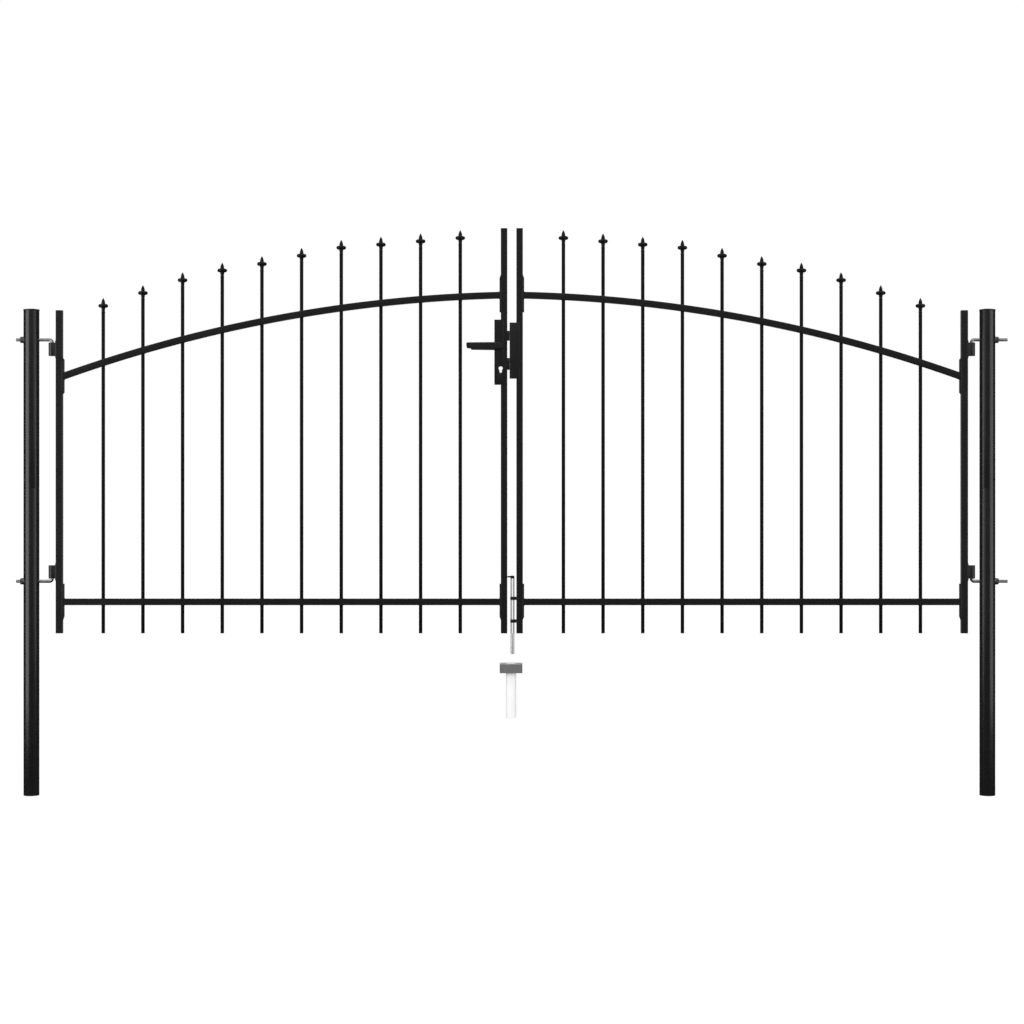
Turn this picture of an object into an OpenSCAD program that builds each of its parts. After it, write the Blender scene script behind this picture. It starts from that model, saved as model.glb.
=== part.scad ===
// Double driveway gate: two arched leaves with spear-topped pickets, hung between two round posts.
// Origin at the middle of the left post's foot, X along the gate, Y to the back, Z up. Millimetres.

/* [Posts] */
// Outside diameter of a post
post_d = 48; // [40:1:76]
// Wall of a post
post_wall = 2; // [1.5:0.5:4]
// How far the cap of a post stands above the hinge stile
post_proud = 5; // [0:1:60]
// Thickness of the disc that closes the foot of a post
post_foot_t = 3; // [2:0.5:6]
// Height of the joint line of a post above the foot of the leaves
seam_up = 448; // [200:1:480]
// Width of the joint line
seam_w = 1.2; // [0.6:0.1:2]
// Depth of the joint line
seam_depth = 0.4; // [0.2:0.1:1]
// How far the rim of a post cap stands out past the post
cap_lip = 0.8; // [0.4:0.1:2]
// Height of the rim of a post cap
cap_rim_h = 4; // [3:0.5:8]
// Height of the crown of a post cap above its rim
cap_crown_h = 2; // [1:0.5:4]
// Length of the spigot of a post cap inside the post
cap_spigot_l = 25; // [10:1:40]

/* [Leaves] */
// Height of the foot of the leaves above the buried foot of the posts
leaf_z = 500; // [440:10:700]
// Width of a leaf across its two stiles
leaf_w = 1393; // [1100:1:1600]
// Gap between the two closed leaves
leaf_gap = 28; // [26:1:40]
// Height of the stile on the hinge side
hinge_stile_h = 997; // [900:1:1100]
// Height of the stile at the middle of the gate
meeting_stile_h = 1250; // [1150:10:1400]
// Side of the square tube of stiles and rails
tube = 20; // [18:0.5:25]
// Wall of the square tube
tube_wall = 1.5; // [1:0.1:2.5]
// Outside corner radius of the square tube
tube_r = 1.2; // [1:0.1:3]
// Thickness of the plastic plug seen at the end of a stile
plug_t = 2.5; // [1.5:0.5:5]
// Length of the plug inside the stile
plug_l = 12; // [6:1:20]

/* [Rails] */
// Height of the middle of the bottom rail above the foot of the leaf
bottom_rail_h = 97; // [80:1:130]
// Distance from the top of the hinge stile down to the middle of the arched rail
hinge_arch_drop = 202.5; // [180:0.5:230]
// Distance from the top of the meeting stile down to the top of the arch
meeting_arch_drop = 205; // [180:1:230]
// How far the top of a leaf's arch lies past the middle of the gate
arch_past = 65; // [0:5:120]
// Thickness of the plates that fix the rails to the stiles
plate_t = 4; // [3:0.5:6]
// Height of these plates
plate_h = 112; // [90:1:130]
// Length of the bevel at the outer end of these plates
plate_bevel = 11; // [3:0.5:16]
// Length of the bevels at both ends of the upper plate on the hinge stile
hinge_plate_bevel = 7.5; // [3:0.5:16]
// How far the upper plate on the meeting stile lies above the middle of the rail
meeting_plate_up = 3; // [0:0.5:6]

/* [Pickets] */
// Number of pickets in a leaf
picket_n = 10; // [8:1:10]
// Distance from the face of a stile to the middle of the nearest picket
picket_margin = 125.25; // [90:0.25:150]
// Diameter of a picket
picket_d = 11; // [9:0.5:12]
// Height of the spear tip above the middle of the arched rail
picket_rise = 205; // [180:5:220]
// What each picket is cut longer or shorter than that, from the hinge stile on
picket_trim = [-5, -3, 3, 3, -3, 0, 6, 0.5, -1, 1];
// Wall of a picket
picket_wall = 1; // [0.8:0.1:2]
// Clearance of a picket in the punched rails, all round
picket_clear = 0.2; // [0.1:0.05:0.4]

/* [Spear heads] */
// Height of a spear head above the end of its picket
spear_h = 46.5; // [44:0.5:60]
// Height of the point above the bead
spear_point_h = 17.5; // [14:0.5:24]
// Width of the point where it leaves the bead
spear_point_d = 10; // [8:0.5:14]
// Diameter of the bead
bead_d = 30; // [24:1:36]
// Height of the bead at its rim
bead_h = 11; // [9:0.5:14]
// Height of the bead round the point
bead_core_h = 8; // [6:0.5:9]
// Width of the neck just under the bead
neck_top_d = 15; // [13:0.5:18]
// Width of the neck at its waist
waist_d = 9; // [8:0.5:11]
// Depth of the waist below the tip
waist_drop = 39.5; // [38:0.5:41]
// Diameter of the collar that sits on the picket
collar_d = 12.5; // [12:0.5:16]
// Height of the collar
collar_h = 2.5; // [1.5:0.5:3.5]
// Length of the spigot inside the picket
spear_spigot_l = 12; // [8:1:20]

/* [Hinges] */
// Distance from the left post's axis to its hinge pins
left_reach = 64; // [58:1:80]
// Distance from the right post's axis to its hinge pins
right_reach = 49; // [47:1:80]
// Diameter of the hook bolts
hook_d = 10; // [8:0.5:12]
// Bend radius of the hook bolts, to the middle of the bar
hook_bend = 8; // [7:0.5:12]
// Distance from the top of the hinge stile down to the upper hook bolts
upper_hook_drop = 91; // [70:1:120]
// Height of the lower hook bolts above the foot of the leaves
lower_hook_h = 160.5; // [150:0.5:220]
// Length of the hook bolts from the threaded tail to the pin's axis
hook_l = 111; // [105:1:140]
// Distance across the flats of the nuts
nut_af = 17; // [16:0.5:20]
// Height of the nuts
nut_h = 8; // [6:0.5:10]
// Diameter of the washers
washer_d = 21; // [20:0.5:26]
// Thickness of the washers
washer_t = 2; // [1:0.5:3]
// Outside diameter of the hinge sleeves
sleeve_d = 22; // [18:0.5:24]
// Height of the hinge sleeves
sleeve_h = 41; // [30:1:60]
// Distance from the hinge pin to the face of the stile
pin_offset = 12.5; // [12:0.5:16]
// Running clearance of the pins in the sleeves, all round
pin_clear = 0.05; // [0.02:0.01:0.1]
// Gap between a sleeve and the bend of its hook bolt
sleeve_gap = 0.5; // [0.3:0.1:2]

/* [Lock] */
// Width of the lock case
lock_w = 30; // [28:0.5:36]
// Height of the lock case
lock_h = 200; // [190:1:220]
// Depth of the lock case, front to back
lock_t = 24; // [22:0.5:28]
// How far the lock case is let into the stile
lock_in = 10; // [6:0.5:12]
// Gap between the plate of the arched rail and the top of the lock case
lock_drop = 23; // [10:1:60]
// Height of the lever's spindle above the middle of the case
spindle_up = 18; // [15:1:22]
// Height of the key profile's round above the middle of the case
key_up = -49.5; // [-55:0.5:-46]
// How far the key profile lies from the middle of the case, towards the stile
key_off = 4.5; // [0:0.5:4.5]
// Diameter of the round of the key profile
key_d = 13; // [12:0.5:14]
// Width of the slot of the key profile
key_slot_w = 7.5; // [6:0.5:9]
// Height of the whole key profile
key_h = 21; // [18:0.5:24]
// Height of the latch bolt's middle above the middle of the case
latch_up = 51; // [47:1:55]
// Height of the latch bolt
latch_h = 30; // [24:1:32]
// Height of the dead bolt's middle above the middle of the case
dead_up = -36; // [-38:1:-34]
// Height of the dead bolt
dead_h = 36; // [28:1:38]
// Thickness of both bolts, front to back
bolt_t = 12; // [8:0.5:13]
// Length of the latch bolt inside the lock case
latch_in = 12; // [8:1:14]
// Length of the dead bolt inside the lock case
dead_in = 2; // [1:0.5:4]
// Gap from the tips of the bolts to the keep
bolt_gap = 0.5; // [0.3:0.1:2]
// Bevel on the latch bolt's tip
latch_bevel = 4; // [2:0.5:6]
// How far the latch bolt draws back
latch_draw = 6.3; // [4:0.1:6.5]
// Clearance of the bolts in the case, all round
bolt_clear = 0.3; // [0.2:0.05:0.5]

/* [Lever] */
// Reach of the lever from its spindle
lever_l = 101; // [85:1:110]
// Height of the lever's bar at its root
lever_h = 25; // [20:0.5:28]
// Height of the lever's bar at its tip
lever_tip_h = 23.5; // [16:0.5:25]
// Thickness of the lever's bar
lever_t = 11; // [8:0.5:14]
// Rise of the cut under the lever's tip
lever_cut = 9; // [4:0.5:12]
// Gap between the lever's bar and the lock case
lever_gap = 7; // [5:0.5:12]
// Diameter of the lever's hub
hub_d = 22; // [18:0.5:26]
// Diameter of the spindle
spindle_d = 10; // [8:0.5:12]
// Gap between the hub and the lock case
hub_gap = 0.4; // [0.3:0.05:1]

/* [Keep] */
// Width of the keep
keep_w = 32; // [30:0.5:36]
// Height of the keep
keep_h = 172; // [165:1:190]
// How far the keep is let into its stile
keep_in = 11; // [9:0.5:12]
// Height of the keep's middle above the middle of the lock case
keep_up = 5; // [0:1:8]
// Depth of the pockets for the bolts
pocket_depth = 16; // [12:0.5:20]
// Room round the bolts in their pockets
pocket_room = 0.5; // [0.3:0.1:2]

/* [Drop bolt] */
// Diameter of the drop rod
rod_d = 12; // [10:0.5:14]
// Length of the drop rod
rod_l = 242; // [230:1:260]
// Height of the drop rod's top above the foot of the leaf
rod_top_h = 178; // [170:1:190]
// Distance from the stile's face to the middle of the rod
rod_off = 12; // [10:0.5:13]
// Height of the taper at the rod's foot
rod_taper_h = 5; // [3:0.5:8]
// Width of the rod's foot
rod_foot_d = 8; // [6:0.5:9]
// Diameter of the lifting pin
lift_d = 4; // [3:0.5:8]
// Gap between the lifting pin and the other leaf
lift_gap = 3; // [3:0.5:6]
// Height of the middle of the upper guide above the foot of the leaf
upper_guide_h = 108; // [104:1:112]
// Height of the middle of the lower guide above the foot of the leaf
lower_guide_h = 38; // [30:1:50]
// Height of a guide
guide_h = 8; // [6:0.5:12]
// Metal round the rod in a guide
guide_wall = 2; // [1.5:0.5:2.5]
// Depth of a guide on the stile, front to back
guide_t = 16; // [14:0.5:18]
// Running clearance of the rod in its guides, all round
rod_clear = 0.1; // [0.05:0.01:0.1]

/* [Ground socket] */
// Side of the square block
block_w = 70; // [60:1:90]
// Height of the block
block_h = 28; // [22:1:40]
// Edge bevel of the block
block_bevel = 2; // [1:0.5:4]
// Height of the block's top above the foot of the posts
block_top_z = 407; // [380:1:415]
// How far the socket's middle lies from the rod's, towards the left leaf
socket_off = 4.4; // [0:0.1:5]
// Outside diameter of the ground tube
socket_d = 30; // [28:1:40]
// Wall of the ground tube
socket_wall = 2; // [1.5:0.5:4]
// Length of the ground tube under the block
socket_l = 141; // [100:1:200]

/* [Hidden] */
$fn = 48;
arch_fn = 720;
point_steps = 6;
eps = 1;
up = 1;
down = -1;

left_pin_x = left_reach;
stile_x = left_pin_x + pin_offset;
free_x = stile_x + leaf_w;
mid_x = free_x + leaf_gap / 2;
right_post_x = 2 * mid_x - left_pin_x + right_reach;
meeting_x = free_x - tube;
rail_x0 = stile_x + tube + plate_t;
rail_x1 = meeting_x - plate_t;

post_h = leaf_z + hinge_stile_h + post_proud - cap_rim_h - cap_crown_h;
upper_hook_z = leaf_z + hinge_stile_h - upper_hook_drop;
lower_hook_z = leaf_z + lower_hook_h;
pin_l = hook_bend + sleeve_gap + sleeve_h;
sleeve_from_hook = hook_bend + sleeve_gap;

bottom_rail_z = leaf_z + bottom_rail_h;
arch_x = mid_x + arch_past;
arch_h = meeting_stile_h - meeting_arch_drop;
arch_run = arch_x - rail_x0;
arch_fall = arch_h - hinge_stile_h + hinge_arch_drop;
arch_r = (pow(arch_run, 2) + pow(arch_fall, 2)) / (2 * arch_fall);
arch_z = leaf_z + arch_h - arch_r;
picket_x0 = stile_x + tube + picket_margin;
picket_pitch = (meeting_x - picket_margin - picket_x0) / (picket_n - 1);

lock_z = arch_at(rail_x1) + meeting_plate_up - plate_h / 2 - lock_drop - lock_h / 2;
lock_x0 = meeting_x + lock_in - lock_w;
lock_x1 = lock_x0 + lock_w;
lock_mid_x = lock_x0 + lock_w / 2;
spindle_z = lock_z + spindle_up;
right_free_x = mid_x + leaf_gap / 2;
keep_face_x = right_free_x + keep_in - keep_w;
keep_z = lock_z + keep_up;
latch_x0 = lock_x1 - latch_in;
dead_x0 = lock_x1 - dead_in;
bolt_tip_x = keep_face_x - bolt_gap;

rod_x = right_free_x - rod_off;
rod_top_z = leaf_z + rod_top_h;
lift_x = free_x + lift_gap;
socket_x = rod_x - socket_off;

// Height of the middle of the arched rail at a place along the left leaf
function arch_at(x) = arch_z + sqrt(pow(arch_r, 2) - pow(x - arch_x, 2));
function picket_x(i) = picket_x0 + i * picket_pitch;
function picket_tip_z(i) = arch_at(picket_x(i)) + picket_rise + picket_trim[i];

// Shapes that repeat

// The same thing on the other side of the gate's middle
module other_leaf() {
    translate([2 * mid_x, 0, 0]) mirror([1, 0, 0]) children();
}

module round_square(side, r) {
    square([side, side - 2 * r], center = true);
    square([side - 2 * r, side], center = true);
    for (sx = [-1, 1], sy = [-1, 1])
        translate([sx * (side / 2 - r), sy * (side / 2 - r)]) circle(r);
}

module tube_profile() {
    difference() {
        round_square(tube, tube_r);
        square(tube - 2 * tube_wall, center = true);
    }
}

// A bar along X
module bar_x(d, l) {
    rotate([0, 90, 0]) cylinder(d = d, h = l);
}

// A bar along Y, from the front to the back
module bar_y(d, l) {
    rotate([-90, 0, 0]) cylinder(d = d, h = l);
}

module stile(h) {
    translate([tube / 2, 0, leaf_z + plug_t]) linear_extrude(h - 2 * plug_t) tube_profile();
}

// Plug at the end of a stile whose outer end lies at z, its spigot pointing into the tube
module stile_plug(z, way) {
    translate([tube / 2, 0, z]) mirror([0, 0, way == up ? 1 : 0]) {
        linear_extrude(plug_t) round_square(tube, tube_r);
        linear_extrude(plug_t + plug_l) square(tube - 2 * tube_wall - picket_clear, center = true);
    }
}

// Flat plate on the face of a stile at x = 0, growing to +X, with a bevel at either end
module rail_plate(low_bevel, high_bevel) {
    rotate([90, 0, 0]) linear_extrude(tube, center = true)
        polygon([
            [0, -plate_h / 2], [plate_t, low_bevel - plate_h / 2],
            [plate_t, plate_h / 2 - high_bevel], [0, plate_h / 2]
        ]);
}

// Hook bolt along X from its threaded tail, with its pin at x = reach pointing up or down
module hook_bolt(reach, way) {
    tail_x = reach - hook_l;
    translate([tail_x, 0, 0]) bar_x(hook_d, reach - hook_bend - tail_x);
    mirror([0, 0, way == up ? 0 : 1]) {
        translate([reach - hook_bend, 0, hook_bend]) rotate([90, 0, 0]) rotate([0, 0, -90])
            rotate_extrude(angle = 90) translate([hook_bend, 0]) circle(d = hook_d);
        translate([reach, 0, hook_bend]) cylinder(d = hook_d, h = pin_l - hook_bend);
    }
}

// Saddle washer and nut on the outer side of a post, towards -X, at the height of a hook bolt
module hook_nuts() {
    mirror([1, 0, 0]) translate([post_d / 2 - washer_seat(), 0, 0]) difference() {
        union() {
            bar_x(washer_d, washer_t + washer_seat());
            translate([washer_t + washer_seat(), 0, 0]) rotate([90, 0, 90])
                cylinder(d = nut_af / cos(30), h = nut_h, $fn = 6);
        }
        translate([-eps, 0, 0]) bar_x(hook_d + 2 * pin_clear, nut_h + washer_t + washer_seat() + 2 * eps);
        translate([-post_d / 2 + washer_seat(), 0, -washer_d]) cylinder(d = post_d, h = 2 * washer_d);
    }
}

// Depth to which a saddle washer reaches round the post
function washer_seat() = post_d / 2 - sqrt(pow(post_d / 2, 2) - pow(washer_d / 2, 2));

// Short tube with a web to the face of the stile, around the axis x = 0, from z = 0 up
module hinge_sleeve() {
    difference() {
        union() {
            cylinder(d = sleeve_d, h = sleeve_h);
            translate([0, -tube / 2 + tube_r, 0]) cube([pin_offset, tube - 2 * tube_r, sleeve_h]);
        }
        translate([0, 0, -eps]) cylinder(d = hook_d + 2 * pin_clear, h = sleeve_h + 2 * eps);
    }
}

// Half outline of a spear point of height h, whose side is one arc from the bead to the tip
module point_outline(h) {
    r = (pow(h, 2) + pow(spear_point_d / 2, 2)) / spear_point_d;
    turn = asin(h / r);
    polygon(concat(
        [[0, 0]],
        [for (i = [0 : point_steps - 1])
            let (a = turn * i / point_steps)
            [spear_point_d / 2 - r * (1 - cos(a)), r * sin(a)]],
        [[0, h]]
    ));
}

// Spear head with its tip at z = 0: point, bead, neck, collar, and a spigot for the picket's bore
module spear_head() {
    bead_z = -spear_point_h - bead_h / 2;
    point_l = spear_point_h + (bead_h - bead_core_h) / 2;
    flare_h = spear_h - waist_drop - collar_h;
    spigot_d = picket_d - 2 * picket_wall - 2 * picket_clear;
    translate([0, 0, -point_l]) rotate_extrude() point_outline(point_l);
    translate([0, 0, bead_z]) rotate_extrude() {
        translate([bead_d / 2 - bead_h / 2, 0]) circle(d = bead_h);
        translate([0, -bead_core_h / 2]) square([bead_d / 2 - bead_h / 2, bead_core_h]);
    }
    translate([0, 0, -waist_drop]) cylinder(d1 = waist_d, d2 = neck_top_d, h = waist_drop + bead_z);
    translate([0, 0, -waist_drop - flare_h]) cylinder(d1 = collar_d, d2 = waist_d, h = flare_h);
    translate([0, 0, -spear_h]) cylinder(d = collar_d, h = collar_h);
    translate([0, 0, -spear_h - spear_spigot_l]) cylinder(d = spigot_d, h = spear_spigot_l + collar_h);
}

module post() {
    difference() {
        cylinder(d = post_d, h = post_h);
        translate([0, 0, post_foot_t]) cylinder(d = post_d - 2 * post_wall, h = post_h);
        for (z = [upper_hook_z, lower_hook_z])
            translate([-post_d, 0, z]) bar_x(hook_d + 2 * pin_clear, 2 * post_d);
        translate([0, 0, leaf_z + seam_up]) rotate_extrude()
            translate([post_d / 2 - seam_depth, -seam_w / 2]) square([seam_depth + eps, seam_w]);
    }
}

module post_cap() {
    translate([0, 0, post_h - cap_spigot_l])
        cylinder(d = post_d - 2 * post_wall - 2 * picket_clear, h = cap_spigot_l);
    translate([0, 0, post_h]) cylinder(d = post_d + 2 * cap_lip, h = cap_rim_h);
    translate([0, 0, post_h + cap_rim_h])
        cylinder(d1 = post_d + 2 * cap_lip, d2 = post_d - 2 * cap_crown_h, h = cap_crown_h);
}

module rail_holes(z0, z1) {
    for (i = [0 : picket_n - 1])
        translate([picket_x(i), 0, z0]) cylinder(d = picket_d + 2 * picket_clear, h = z1 - z0);
}

// Way for a bolt from x0 inside the lock case out through the stile, with room all round
module bolt_way(x0, up_h, h) {
    translate([x0, -bolt_t / 2 - bolt_clear, lock_z + up_h - h / 2 - bolt_clear])
        cube([right_free_x - x0, bolt_t + 2 * bolt_clear, h + 2 * bolt_clear]);
}

module bolt_ways() {
    bolt_way(latch_x0 - latch_draw - bolt_clear, latch_up, latch_h);
    bolt_way(dead_x0, dead_up, dead_h);
}

// Pieces of the left leaf, also used for the right one

module hinge_stile() {
    translate([stile_x, 0, 0]) stile(hinge_stile_h);
}

module bottom_rail() {
    difference() {
        translate([rail_x0, 0, bottom_rail_z]) rotate([90, 0, 90])
            linear_extrude(rail_x1 - rail_x0) tube_profile();
        rail_holes(bottom_rail_z - tube, bottom_rail_z + tube);
    }
}

module arched_rail() {
    half = asin((arch_x - stile_x) / arch_r);
    difference() {
        intersection() {
            translate([arch_x, 0, arch_z]) rotate([90, 0, 0]) rotate([0, 0, 90])
                rotate_extrude(angle = half, $fn = arch_fn) translate([arch_r, 0]) tube_profile();
            translate([rail_x0, -tube, leaf_z]) cube([rail_x1 - rail_x0, 2 * tube, 2 * arch_h]);
        }
        rail_holes(leaf_z + bottom_rail_h + tube, leaf_z + 2 * arch_h);
    }
}

module pickets() {
    for (i = [0 : picket_n - 1]) {
        h = picket_tip_z(i) - spear_h - leaf_z;
        translate([picket_x(i), 0, leaf_z]) difference() {
            cylinder(d = picket_d, h = h);
            translate([0, 0, -eps]) cylinder(d = picket_d - 2 * picket_wall, h = h + 2 * eps);
        }
    }
}

module spear_heads() {
    for (i = [0 : picket_n - 1])
        translate([picket_x(i), 0, picket_tip_z(i)]) spear_head();
}

module rail_plates() {
    translate([stile_x + tube, 0, 0]) {
        translate([0, 0, bottom_rail_z]) rail_plate(plate_bevel, 0);
        translate([0, 0, arch_at(rail_x0)]) rail_plate(hinge_plate_bevel, hinge_plate_bevel);
    }
    translate([meeting_x, 0, 0]) mirror([1, 0, 0]) {
        translate([0, 0, bottom_rail_z]) rail_plate(plate_bevel, 0);
        translate([0, 0, arch_at(rail_x1) + meeting_plate_up]) rail_plate(0, plate_bevel);
    }
}

module stile_plugs() {
    for (s = [[stile_x, hinge_stile_h], [meeting_x, meeting_stile_h]]) translate([s[0], 0, 0]) {
        stile_plug(leaf_z, down);
        stile_plug(leaf_z + s[1], up);
    }
}

module upper_sleeve() {
    translate([left_pin_x, 0, upper_hook_z - sleeve_from_hook - sleeve_h]) hinge_sleeve();
}

module lower_sleeve() {
    translate([left_pin_x, 0, lower_hook_z + sleeve_from_hook]) hinge_sleeve();
}

// Sub-parts

module left_post() { color("#1d1d1d") post(); }
module right_post() { color("#1d1d1d") translate([right_post_x, 0, 0]) post(); }
module left_post_cap() { color("#141414") post_cap(); }
module right_post_cap() { color("#141414") translate([right_post_x, 0, 0]) post_cap(); }

module left_upper_hook_bolt() {
    color("silver") translate([0, 0, upper_hook_z]) hook_bolt(left_reach, down);
}
module left_lower_hook_bolt() {
    color("silver") translate([0, 0, lower_hook_z]) hook_bolt(left_reach, up);
}
module right_upper_hook_bolt() {
    color("silver") translate([right_post_x, 0, upper_hook_z])
        mirror([1, 0, 0]) hook_bolt(right_reach, down);
}
module right_lower_hook_bolt() {
    color("silver") translate([right_post_x, 0, lower_hook_z])
        mirror([1, 0, 0]) hook_bolt(right_reach, up);
}
module left_hook_nuts() {
    color("silver") for (z = [upper_hook_z, lower_hook_z]) translate([0, 0, z]) hook_nuts();
}
module right_hook_nuts() {
    color("silver") for (z = [upper_hook_z, lower_hook_z])
        translate([right_post_x, 0, z]) mirror([1, 0, 0]) hook_nuts();
}

// Block with its upper edges bevelled all round
module bevelled_block() {
    intersection_for (turn = [0, 90]) rotate([90, 0, turn]) linear_extrude(block_w, center = true)
        polygon([
            [-block_w / 2, 0], [block_w / 2, 0], [block_w / 2, block_h - block_bevel],
            [block_w / 2 - block_bevel, block_h], [block_bevel - block_w / 2, block_h],
            [-block_w / 2, block_h - block_bevel]
        ]);
}

module ground_block() {
    color("dimgray") translate([socket_x, 0, block_top_z - block_h]) difference() {
        bevelled_block();
        translate([0, 0, -eps]) cylinder(d = socket_d, h = block_h + 2 * eps);
    }
}

module ground_tube() {
    color("white") translate([socket_x, 0, block_top_z - block_h - socket_l]) difference() {
        cylinder(d = socket_d, h = socket_l + block_h);
        translate([0, 0, socket_wall]) cylinder(d = socket_d - 2 * socket_wall, h = socket_l + block_h);
    }
}

module left_hinge_stile() { color("#1d1d1d") hinge_stile(); }
module right_hinge_stile() { color("#1d1d1d") other_leaf() hinge_stile(); }

module left_meeting_stile() {
    color("#1d1d1d") difference() {
        translate([meeting_x, 0, 0]) stile(meeting_stile_h);
        translate([lock_x0, -lock_t, lock_z - lock_h / 2]) cube([lock_w, 2 * lock_t, lock_h]);
        bolt_ways();
    }
}

module right_meeting_stile() {
    color("#1d1d1d") difference() {
        other_leaf() translate([meeting_x, 0, 0]) stile(meeting_stile_h);
        translate([keep_face_x, -lock_t, keep_z - keep_h / 2]) cube([keep_w, 2 * lock_t, keep_h]);
    }
}

module left_bottom_rail() { color("#1d1d1d") bottom_rail(); }
module right_bottom_rail() { color("#1d1d1d") other_leaf() bottom_rail(); }
module left_arched_rail() { color("#1d1d1d") arched_rail(); }
module right_arched_rail() { color("#1d1d1d") other_leaf() arched_rail(); }
module left_pickets() { color("#181818") pickets(); }
module right_pickets() { color("#181818") other_leaf() pickets(); }
module left_spear_heads() { color("#141414") spear_heads(); }
module right_spear_heads() { color("#141414") other_leaf() spear_heads(); }
module left_rail_plates() { color("#1d1d1d") rail_plates(); }
module right_rail_plates() { color("#1d1d1d") other_leaf() rail_plates(); }
module left_stile_plugs() { color("#141414") stile_plugs(); }
module right_stile_plugs() { color("#141414") other_leaf() stile_plugs(); }
module left_upper_sleeve() { color("#1d1d1d") upper_sleeve(); }
module left_lower_sleeve() { color("#1d1d1d") lower_sleeve(); }
module right_upper_sleeve() { color("#1d1d1d") other_leaf() upper_sleeve(); }
module right_lower_sleeve() { color("#1d1d1d") other_leaf() lower_sleeve(); }

// Lock case with the key profile cut right through, the spindle's bore and the bolts' pockets
module lock_case() {
    color("#1d1d1d") difference() {
        translate([lock_x0, -lock_t / 2, lock_z - lock_h / 2]) cube([lock_w, lock_t, lock_h]);
        translate([lock_mid_x, -lock_t, spindle_z]) bar_y(spindle_d + 2 * pin_clear, 2 * lock_t);
        translate([lock_mid_x + key_off, -lock_t, lock_z + key_up]) {
            bar_y(key_d, 2 * lock_t);
            translate([-key_slot_w / 2, 0, key_d / 2 - key_h + key_slot_w / 2])
                cube([key_slot_w, 2 * lock_t, key_h - key_d / 2 - key_slot_w / 2]);
            translate([0, 0, key_d / 2 - key_h + key_slot_w / 2]) bar_y(key_slot_w, 2 * lock_t);
        }
        bolt_ways();
    }
}

module dead_bolt() {
    color("#1d1d1d") translate([dead_x0, -bolt_t / 2, lock_z + dead_up - dead_h / 2])
        cube([bolt_tip_x - dead_x0, bolt_t, dead_h]);
}

// Latch bolt with its tip bevelled towards the back
module latch_bolt() {
    color("silver") translate([0, 0, lock_z + latch_up - latch_h / 2]) linear_extrude(latch_h)
        polygon([
            [latch_x0, -bolt_t / 2], [bolt_tip_x, -bolt_t / 2], [bolt_tip_x, bolt_t / 2 - latch_bevel],
            [bolt_tip_x - latch_bevel, bolt_t / 2], [latch_x0, bolt_t / 2]
        ]);
}

// Lever on the front of the case: a hub, and a bar that tapers to a cut tip
module lever() {
    hub_y = -lock_t / 2 - hub_gap;
    bar_y0 = -lock_t / 2 - lever_gap - lever_t;
    translate([lock_mid_x, bar_y0, spindle_z]) {
        difference() {
            bar_y(hub_d, hub_y - bar_y0);
            translate([0, lever_t, 0]) bar_y(spindle_d, lever_gap);
        }
        translate([0, lever_t, 0]) rotate([90, 0, 0]) linear_extrude(lever_t)
            polygon([
                [0, lever_h / 2], [-lever_l, lever_tip_h / 2], [-lever_l, lever_cut - lever_tip_h / 2],
                [-lever_l + lever_cut * 1.3, -lever_tip_h / 2], [0, -lever_h / 2]
            ]);
    }
}

module lever_front() { color("#1d1d1d") lever(); }
module lever_back() { color("#1d1d1d") mirror([0, 1, 0]) lever(); }
module lever_spindle() {
    half_l = lock_t / 2 + lever_gap;
    color("silver") translate([lock_mid_x, -half_l, spindle_z]) bar_y(spindle_d, 2 * half_l);
}

// Box on the right leaf with a pocket for each bolt
module keep() {
    color("#1d1d1d") difference() {
        translate([keep_face_x, -lock_t / 2, keep_z - keep_h / 2]) cube([keep_w, lock_t, keep_h]);
        for (b = [[latch_up, latch_h], [dead_up, dead_h]])
            translate([keep_face_x - eps, -bolt_t / 2 - pocket_room, lock_z + b[0] - b[1] / 2 - pocket_room])
                cube([pocket_depth + eps, bolt_t + 2 * pocket_room, b[1] + 2 * pocket_room]);
    }
}

module rod_guides() {
    eye_d = rod_d + 2 * guide_wall + 2 * rod_clear;
    color("#1d1d1d") for (h = [upper_guide_h, lower_guide_h])
        translate([rod_x, 0, leaf_z + h - guide_h / 2]) difference() {
            union() {
                cylinder(d = eye_d, h = guide_h);
                translate([0, -guide_t / 2, 0]) cube([rod_off, guide_t, guide_h]);
            }
            translate([0, 0, -eps]) cylinder(d = rod_d + 2 * rod_clear, h = guide_h + 2 * eps);
        }
}

module drop_rod() {
    color("silver") {
        translate([rod_x, 0, rod_top_z - rod_l]) cylinder(d1 = rod_foot_d, d2 = rod_d, h = rod_taper_h);
        translate([rod_x, 0, rod_top_z - rod_l + rod_taper_h]) cylinder(d = rod_d, h = rod_l - rod_taper_h);
        translate([lift_x, 0, rod_top_z - lift_d]) bar_x(lift_d, rod_x - lift_x);
    }
}

left_post();
right_post();
left_post_cap();
right_post_cap();
left_upper_hook_bolt();
left_lower_hook_bolt();
right_upper_hook_bolt();
right_lower_hook_bolt();
left_hook_nuts();
right_hook_nuts();
ground_block();
ground_tube();
left_hinge_stile();
left_meeting_stile();
left_bottom_rail();
left_arched_rail();
left_pickets();
left_spear_heads();
left_rail_plates();
left_stile_plugs();
left_upper_sleeve();
left_lower_sleeve();
lock_case();
dead_bolt();
latch_bolt();
lever_front();
lever_back();
lever_spindle();
right_hinge_stile();
right_meeting_stile();
right_bottom_rail();
right_arched_rail();
right_pickets();
right_spear_heads();
right_rail_plates();
right_stile_plugs();
right_upper_sleeve();
right_lower_sleeve();
keep();
rod_guides();
drop_rod();
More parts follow.
